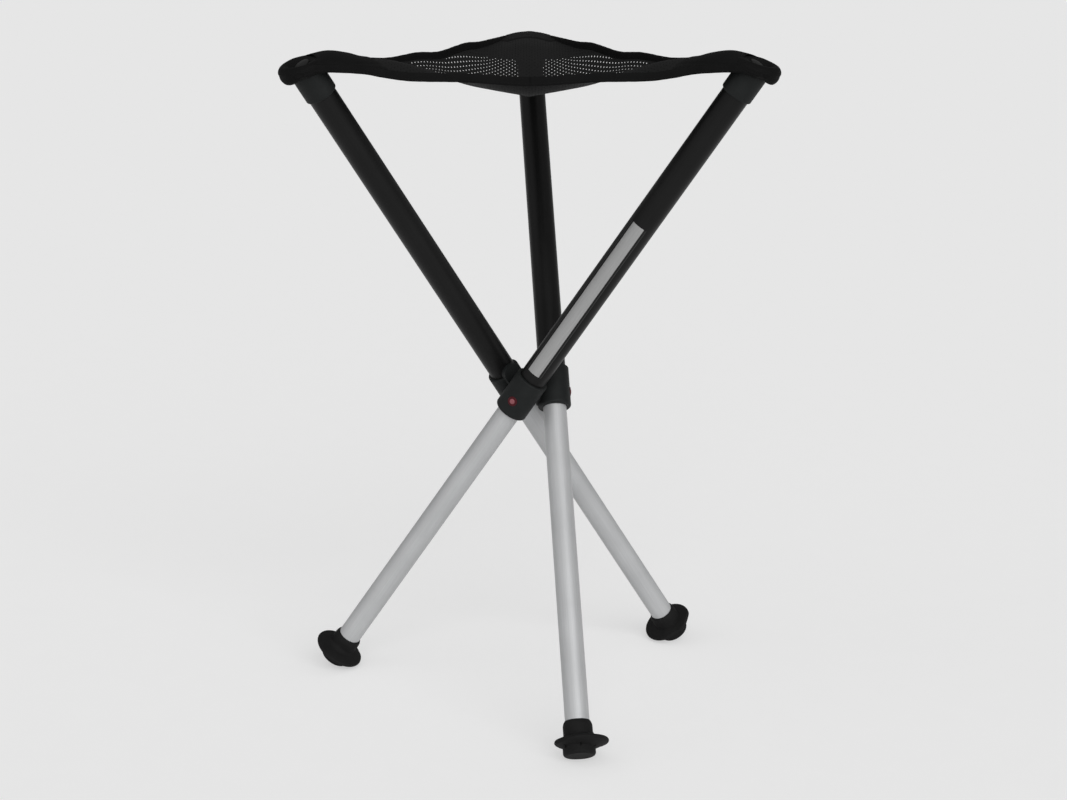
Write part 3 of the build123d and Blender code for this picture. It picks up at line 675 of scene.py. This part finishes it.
def make_stitch_tree():
    """Stitches of one length and thickness, in a row along a line."""
    tree, given = new_geometry_tree("stitches", ["Pitch", "Length", "Thickness"])
    line = add(tree, "GeometryNodeMeshToCurve", {"Mesh": given["Geometry"]})
    along = add(
        tree, "GeometryNodeCurveToPoints", {"Curve": line, "Length": given["Pitch"]}, mode="LENGTH"
    ).outputs
    bead = add(tree, "GeometryNodeMeshUVSphere", {"Segments": 6, "Rings": 4, "Radius": 0.5})
    thickness, length = given["Thickness"], given["Length"]
    size = add(tree, "ShaderNodeCombineXYZ", {"X": thickness, "Y": thickness, "Z": length})
    placed = {"Points": along["Points"], "Instance": bead, "Rotation": along["Rotation"], "Scale": size}
    stitches = add(tree, "GeometryNodeInstanceOnPoints", placed)
    smooth = add(tree, "GeometryNodeSetShadeSmooth", {"Geometry": stitches})
    close_geometry_tree(tree, smooth, given["Material"])
    return tree


net_tree = make_net_tree()
stitch_tree = make_stitch_tree()


def make_stitches(name, points):
    """A row of stitches along a line of points."""
    edges = [(k, k + 1) for k in range(len(points) - 1)]
    line = make_piece(name, points, [], thread, edges=edges)
    sizes = {
        "Pitch": STITCH_PITCH * MM,
        "Length": STITCH_LENGTH * MM,
        "Thickness": STITCH_THICKNESS * MM,
        "Material": thread,
    }
    return grow(line, stitch_tree, sizes)


def follow_seat(piece):
    """Bakes the cloth's placement into its mesh, in the shared frame."""
    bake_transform(piece)


# Net


def make_net(leg):
    """A third of the net: a triangle grid, kept inside the hems, then a mesh round each of its points."""
    count = int(CORNER_REACH / NET_PITCH_ACROSS) + 2

    def node_at(row, column):
        return Vector((row * NET_PITCH_ACROSS, (column + 0.5 * (row % 2)) * NET_PITCH_ALONG, 0))

    def wanted(point):
        turn = (atan2(point.y, point.x) - leg.corner + pi) % (2 * pi) - pi
        if not -pi / 3 <= turn < pi / 3 or point.dot(leg.corner_direction) > NET_REACH:
            return False
        return all(side.inside(point) > -NET_PITCH_ALONG / 2 for side in sides.values())

    kept = {
        (row, column)
        for row in range(-count, count + 1)
        for column in range(-count, count + 1)
        if wanted(node_at(row, column))
    }
    index, points, faces = {}, [], []
    for row in range(-count - 1, count + 2):
        shift = row % 2
        for column in range(-count - 1, count + 2):
            behind = ((row, column), (row, column + 1), (row - 1, column + shift))
            ahead = ((row, column), (row + 1, column + shift), (row, column + 1))
            for triangle in (behind, ahead):
                if not any(node in kept for node in triangle):
                    continue
                for node in triangle:
                    if node not in index:
                        plan = node_at(*node)
                        for side in sides.values():
                            plan = side.keep_inside(plan, NET_MARGIN)
                        index[node] = len(points)
                        points.append((plan.x + AXIS.x, plan.y + AXIS.y, seat_height(plan)))
                faces.append([index[node] for node in triangle])
    net = make_piece(f"seat_net_{leg.number}", points, faces, net_yarn)
    grow(net, net_tree, {"Hole Share": NET_HOLE_SHARE, "Material": net_yarn})
    thicken(net, NET_THICKNESS)
    for polygon in net.data.polygons:
        polygon.use_smooth = False
    return net


# Hems


def hem_on_side(place, side):
    """A hem at a place on its side, from -1 to 1: its middle, its directions out and up, and its height."""
    leg = side.leg_at(place)
    plan, out = side.plan(place)
    height = smooth_through(HEM_HEIGHT, abs(place))
    at_pocket = ramp(abs(place), HEM_POCKET_START, 1.0)
    along = place * side.half_length
    beat = HEM_PUCKER_BEAT * HEM_PUCKER_PITCH
    wave = sin(2 * pi * along / HEM_PUCKER_PITCH) * cos(2 * pi * along / beat)
    pucker = HEM_PUCKER * wave * (1 - at_pocket)
    middle = AXIS + plan + out * (HEM_POCKET_STAND * at_pocket + pucker - HEM_THICKNESS / 2)
    middle.z = side.top(place) - height / 2 + HEM_PUCKER_RISE * pucker
    return middle, out, Vector((0, 0, 1)).lerp(leg.pocket_up, at_pocket), height


def hem_on_pocket(travel, place, side):
    """The same past the end of the side, where the hem goes round the pocket and is tucked into it."""
    leg = side.leg_at(place)
    end, _, _, height = hem_on_side(place, side)
    start = end - leg.pocket_centre
    first_reach, first_across = start.dot(leg.outward), start.dot(leg.pocket_across)
    first_radius = hypot(first_reach, first_across)
    angle = atan2(first_across, first_reach) + place * travel / first_radius
    radius = first_radius - HEM_TUCK * ramp(travel, 0.0, HEM_WRAP)
    level = start.dot(leg.pocket_up) - HEM_SINK[leg.place] * ramp(travel, 0.0, HEM_WRAP / 2)
    middle = leg.on_pocket(radius * cos(angle), radius * sin(angle), level)
    return middle, leg.outward * cos(angle) + leg.pocket_across * sin(angle), leg.pocket_up, height


def hem_course(leg, side, wrapped):
    """The hem's places from the middle of a side to the leg's pocket: how far along, and the hem there."""
    sign = -1 if side.legs[0] is leg else 1
    course = []
    for k in range(HEM_STATIONS + 1):
        place = sign * k / HEM_STATIONS
        course.append((abs(place) * side.half_length, hem_on_side(place, side)))
    if wrapped:
        for k in range(1, HEM_WRAP_STATIONS + 1):
            travel = HEM_WRAP * k / HEM_WRAP_STATIONS
            course.append((side.half_length + travel, hem_on_pocket(travel, sign, side)))
    return course


def make_hem_half(name, leg, side):
    """Half of a hem: folded tape, standing on edge, rounded at the fold and at its lower edge."""
    points, uvs, faces = [], [], []
    count = HEM_SECTION_POINTS
    course = hem_course(leg, side, wrapped=True)
    for along, (middle, out, up, height) in course:
        for k in range(count):
            angle = 2 * pi * k / count
            wide, tall = cos(angle), sin(angle)
            squareness = (wide**4 + tall**4) ** -0.25
            rise = height / 2 * tall * squareness
            points.append(middle + out * (HEM_THICKNESS / 2 * wide * squareness) + up * rise)
            uvs.append((along, rise))
    last = len(course) - 1
    for station in range(last):
        for k in range(count):
            a, b = station * count + k, station * count + (k + 1) % count
            faces.append((a, b, b + count, a + count))
    faces.append(list(range(count)))
    faces.append(list(range(last * count, (last + 1) * count)))
    return face_outward(make_piece(name, points, faces, hem_tape, uvs))


def make_hem_seams(name, leg, side):
    """The seam of the hem, a row of stitches near its lower edge on each face."""
    seams = []
    for face, label in ((1, "outer"), (-1, "inner")):
        line = []
        for _, (middle, out, up, height) in hem_course(leg, side, wrapped=False):
            stand = face * (HEM_THICKNESS / 2 - STITCH_SINK)
            line.append(middle + out * stand + up * (STITCH_MARGIN - height / 2))
        seams.append(make_stitches(f"{name}_{label}", line))
    return seams


# Corner hoods


def hood_point(leg, reach, share, rise):
    """A point of the hood, with a rise from its middle: reach from the axis, share from -1 to 1 across."""
    across = Vector((-leg.corner_direction.y, leg.corner_direction.x, 0))
    ahead, behind = sides_at(leg)
    side, turn = (ahead, 1) if share > 0 else (behind, -1)
    half, high = 0.0, 2 * CORNER_WIDTH
    for _ in range(HOOD_SEARCH_STEPS):
        test = (half + high) / 2
        inside = side.inside(leg.corner_direction * reach + across * (turn * test))
        half, high = (test, high) if inside > HOOD_EDGE else (half, test)
    flat = leg.corner_direction * reach + across * (share * half)
    lift = HOOD_LIFT * (2 * ramp(reach, *HOOD_THROUGH[leg.place]) - 1)
    return AXIS + Vector((flat.x, flat.y, seat_height(flat) + lift + rise))


def hood_ends(leg, share):
    """How far from the axis a hood starts and ends, at a share of the way across."""
    inner = HOOD_INNER_REACH[leg.place] + HOOD_INNER_BOW[leg.place] * share**HOOD_BOW_POWER
    return inner, HOOD_OUTER_REACH + HOOD_OUTER_BOW * share * share


def make_hood(leg):
    """The plain cloth that lines a corner of the net, comes up through it and is sewn on the pocket."""
    points, uvs, faces = [], [], []
    for row in range(HOOD_ROWS + 1):
        for column in range(HOOD_COLUMNS + 1):
            share = 2 * column / HOOD_COLUMNS - 1
            inner, outer = hood_ends(leg, share)
            reach = inner + (outer - inner) * row / HOOD_ROWS
            points.append(hood_point(leg, reach, share, 0.0))
            uvs.append((share * CORNER_WIDTH / 2, reach))
    width = HOOD_COLUMNS + 1
    for row in range(HOOD_ROWS):
        for column in range(HOOD_COLUMNS):
            a = row * width + column
            faces.append((a, a + 1, a + width + 1, a + width))
    hood = make_piece(f"corner_hood_{leg.number}", points, faces, pocket_cloth, uvs)
    return thicken(face_outward(hood), HOOD_THICKNESS)


def make_hood_seams(leg):
    """Rows of stitches that hold a hood to the net and to the pocket."""
    rise = HOOD_THICKNESS / 2 - STITCH_SINK
    net_line, pocket_line = [], []
    for column in range(1, HOOD_COLUMNS):
        share = 2 * column / HOOD_COLUMNS - 1
        net_line.append(hood_point(leg, HOOD_THROUGH[leg.place][1] + HOOD_SEAM, share, rise))
        pocket_line.append(hood_point(leg, hood_ends(leg, share)[1] - HOOD_SEAM, share, rise))
    name = f"corner_hood_{leg.number}_stitches"
    return [make_stitches(f"{name}_inner", net_line), make_stitches(f"{name}_outer", pocket_line)]


# Corner pockets


def pocket_rings(leg):
    """Rings of points over a pocket, from the rivet's dimple over the roll and up round the socket.

    Also gives the rows that the rivet, the rim's seam and the socket hold.
    """
    top, sink = POCKET_TOP[leg.place], POCKET_INNER_SINK[leg.place]
    crown, droop = POCKET_CROWN[leg.place], POCKET_DROOP[leg.place]
    turns = [2 * pi * k / POCKET_SEGMENTS for k in range(POCKET_SEGMENTS)]

    def leg_ring(radius, level):
        return [leg.at(radius * sin(angle), radius * cos(angle), level) for angle in turns]

    def pad_ring(radius, height):
        """A ring of the pad, sunk towards the seat and its sides, crowned, and fuller under the tip."""
        ring = []
        for angle in turns:
            wide, out = radius * sin(angle), radius * cos(angle)
            if height > 0:
                fullness = 1 - crown * (wide / POCKET_RADIUS) ** 2
            else:
                tip_start = POCKET_TIP_START * POCKET_RADIUS
                fullness = 1 + POCKET_TIP_FULLNESS * ramp(out, tip_start, POCKET_RADIUS)
            sunk = sink * ramp(-out, 0.0, POCKET_RADIUS) + droop * (wide / POCKET_RADIUS) ** 2
            ring.append(leg.on_pocket(wide, out, height * fullness - sunk))
        return ring

    def dome_ring(radius):
        """A ring of the pad's top, square to the leg at the rivet and level with the pad at the roll."""
        share = ramp(radius, RIVET_HEAD_RADIUS, roll_centre)
        by_rivet = leg_ring(radius, RIVET_SEAT + RIVET_PRESS)
        return [a.lerp(b, share) for a, b in zip(by_rivet, pad_ring(radius, top))]

    def socket_ring(share):
        """A ring round the socket, from the pocket's mouth at 0 to the top of the socket at 1."""
        ring = []
        lean = radians(POCKET_LIFT)
        for angle in turns:
            across = cavity * cos(angle)
            mouth = POCKET_CENTRE + (across * sin(lean) - POCKET_UNDER) / cos(lean)
            level = mouth + (SOCKET_TOP + CLOTH_GAP - mouth) * share
            ring.append(leg.at(cavity * sin(angle), across, level))
        return ring

    cavity = SOCKET_RADIUS + CLOTH_GAP
    roll_centre = POCKET_RADIUS - POCKET_ROLL
    dimple_radii = (*POCKET_MIDDLE_RADII, RIVET_HEAD_RADIUS + RIVET_MARGIN)
    dimple = [leg_ring(radius, RIVET_SEAT - RIVET_PRESS) for radius in dimple_radii]
    dome = []
    dome_start = RIVET_HEAD_RADIUS + DOME_MARGIN
    for k in range(POCKET_DOME_STEPS):
        dome.append(dome_ring(dome_start + (roll_centre - dome_start) * k / POCKET_DOME_STEPS))
    roll = []
    for k in range(POCKET_ROLL_STEPS + 1):
        angle = pi / 2 - pi * k / POCKET_ROLL_STEPS
        depth = top if angle > 0 else POCKET_UNDER
        roll.append(pad_ring(roll_centre + POCKET_ROLL * cos(angle), depth * sin(angle)))
    roll.append(pad_ring((roll_centre + cavity) / 2, -POCKET_UNDER))
    bore = [socket_ring(k / POCKET_BORE_STEPS) for k in range(POCKET_BORE_STEPS + 1)]
    bore += [leg_ring(radius, SOCKET_TOP + CLOTH_GAP) for radius in POCKET_BORE_RADII]
    rim = len(dimple) + len(dome) + POCKET_ROLL_STEPS // 2
    first_bore = len(dimple) + len(dome) + len(roll)
    rings = dimple + dome + roll + bore
    return rings, [*range(len(dimple)), rim, *range(first_bore, len(rings))]


def make_pocket(leg):
    """A padded pocket, filled by cloth simulation between its rim seam, the rivet and the socket."""
    rings, held_rows = pocket_rings(leg)
    points = [point for ring in rings for point in ring]
    uvs = [(p.dot(leg.outward), p.dot(leg.pocket_across)) for p in points]
    faces = []
    for row in range(len(rings) - 1):
        for k in range(POCKET_SEGMENTS):
            a = row * POCKET_SEGMENTS + k
            b = row * POCKET_SEGMENTS + (k + 1) % POCKET_SEGMENTS
            faces.append((a, b, b + POCKET_SEGMENTS, a + POCKET_SEGMENTS))
    faces.append(list(range(POCKET_SEGMENTS)))
    faces.append(list(range((len(rings) - 1) * POCKET_SEGMENTS, len(rings) * POCKET_SEGMENTS)))
    pocket = face_outward(make_piece(f"corner_pocket_pad_{leg.number}", points, faces, pocket_cloth, uvs))
    held = pocket.vertex_groups.new(name="held")
    for row in held_rows:
        held.add(range(row * POCKET_SEGMENTS, (row + 1) * POCKET_SEGMENTS), 1.0, "REPLACE")
    inflate(pocket, held.name)
    smooth = pocket.modifiers.new("smooth", "SUBSURF")
    smooth.levels = 1
    smooth.render_levels = 1
    return settle(pocket)


def inflate(piece, held):
    """Fills a piece with air by cloth simulation, within the pocket's swell."""
    scene = bpy.context.scene
    rest = [vertex.co.copy() for vertex in piece.data.vertices]
    modifier = piece.modifiers.new("cloth", "CLOTH")
    settings = modifier.settings
    settings.vertex_group_mass = held
    settings.quality = 6
    settings.mass = 0.1
    settings.tension_stiffness = 12
    settings.compression_stiffness = 12
    settings.bending_stiffness = 0.3
    settings.shrink_min = -0.04
    settings.use_pressure = True
    settings.uniform_pressure_force = POCKET_PRESSURE
    settings.effector_weights.gravity = 0
    for step in range(1, SIMULATION_FRAMES + 1):
        scene.frame_set(step)
    graph = bpy.context.evaluated_depsgraph_get()
    moved = [vertex.co.copy() for vertex in piece.evaluated_get(graph).data.vertices]
    piece.modifiers.remove(modifier)
    for vertex, before, after in zip(piece.data.vertices, rest, moved):
        step = after - before
        step.length = min(step.length, POCKET_SWELL * MM)
        vertex.co = before + step
    scene.frame_set(1)


# Seat


def dress_hem(side_number, leg):
    side = sides[side_number]
    name = f"hem_{side_number}_by_leg_{leg.number}"
    hem = make_hem_half(name, leg, side)
    follow_seat(hem)
    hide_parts(f"hem_band_{side_number}")
    seams = make_hem_seams(f"{name}_stitches", leg, side)
    for seam in seams:
        follow_seat(seam)


def dress_corner(leg):
    net = make_net(leg)
    follow_seat(net)
    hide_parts("seat_mesh")
    pocket = make_pocket(leg)
    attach(pocket, f"leg_{leg.number}")
    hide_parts(f"corner_pocket_{leg.number}")
    hood = make_hood(leg)
    seams = make_hood_seams(leg)
    for piece in (hood, *seams):
        follow_seat(piece)
    for side_number, side in sides.items():
        if leg in side.legs:
            dress_hem(side_number, leg)


for leg in legs.values():
    dress_corner(leg)

# Camera, light and floor
CAMERA_DISTANCE = 2268.0
CAMERA_HEIGHT = 846.7
CAMERA_PITCH = 13.33  # degrees
FOCAL_PIXELS = 2271.0
IMAGE_WIDTH = 1067.0  # pixels
PRINCIPAL_X = 529.2  # pixels
SENSOR = 36.0
FLOOR_HALF = 60.0  # metres
FLOOR_GLOW = 0.6
WORLD_STRENGTH = 0.36
BACKDROP = linear("E6E6E6")


def make_camera():
    data = bpy.data.cameras.new("camera")
    data.sensor_width = SENSOR
    data.lens = FOCAL_PIXELS * SENSOR / IMAGE_WIDTH
    data.shift_x = (IMAGE_WIDTH / 2 - PRINCIPAL_X) / IMAGE_WIDTH
    data.clip_end = 200
    camera = bpy.data.objects.new("camera", data)
    camera.location = (0, (AXIS.y - CAMERA_DISTANCE) * MM, CAMERA_HEIGHT * MM)
    camera.rotation_euler = (radians(90 - CAMERA_PITCH), 0, 0)
    bpy.context.scene.collection.objects.link(camera)
    bpy.context.scene.camera = camera


def make_sun(name, azimuth, elevation, strength, spread):
    """A round soft light far away. Azimuth 0 shines from the camera's side, 90 from the right."""
    data = bpy.data.lights.new(name, "SUN")
    data.energy = strength
    data.angle = radians(spread)
    sun = bpy.data.objects.new(name, data)
    sun.rotation_euler = (radians(90 - elevation), 0, radians(azimuth))
    bpy.context.scene.collection.objects.link(sun)


def make_world():
    world = bpy.data.worlds.new("studio")
    world.use_nodes = True
    tree = world.node_tree
    tree.nodes.clear()
    background = add(tree, "ShaderNodeBackground", {"Color": BACKDROP, "Strength": WORLD_STRENGTH})
    add(tree, "ShaderNodeOutputWorld", {"Surface": background})
    bpy.context.scene.world = world


def make_floor():
    """A pale floor that also glows a little to the eye and in reflections, to keep its shadows faint."""
    material, tree = new_material("pale_floor")
    place = add(tree, "ShaderNodeTexCoord").outputs["Object"]
    speckle = add(tree, "ShaderNodeTexNoise", {"Vector": place, "Scale": 1 / (FLOOR_SPECKLE * MM)})
    greys = {"Factor": speckle, "A": linear("C3C3C3"), "B": linear("C6C6C6")}
    colour = add(tree, "ShaderNodeMix", greys, data_type="RGBA")
    matt = add(tree, "ShaderNodeBsdfDiffuse", {"Color": colour})
    ray = add(tree, "ShaderNodeLightPath").outputs
    seen = ray["Is Camera Ray"]
    for kind in ("Is Glossy Ray", "Is Transmission Ray"):
        seen = add(tree, "ShaderNodeMath", {0: seen, 1: ray[kind]}, operation="MAXIMUM")
    glow_strength = add(tree, "ShaderNodeMath", {0: seen, 1: FLOOR_GLOW}, operation="MULTIPLY")
    glow = add(tree, "ShaderNodeEmission", {"Color": BACKDROP, "Strength": glow_strength})
    both = add(tree, "ShaderNodeAddShader", {0: matt, 1: glow})
    add(tree, "ShaderNodeOutputMaterial", {"Surface": both})
    corners = [(x * FLOOR_HALF, y * FLOOR_HALF, 0) for x, y in ((-1, -1), (1, -1), (1, 1), (-1, 1))]
    mesh = bpy.data.meshes.new("floor")
    mesh.from_pydata(corners, [], [(0, 1, 2, 3)])
    mesh.materials.append(material)
    floor = bpy.data.objects.new("floor", mesh)
    bpy.context.scene.collection.objects.link(floor)


make_camera()
make_world()
make_sun("key_light", azimuth=18, elevation=22, strength=1.9, spread=60)
make_sun("fill_light", azimuth=-55, elevation=25, strength=0.4, spread=80)
make_floor()
bpy.context.scene.view_settings.view_transform = "Standard"
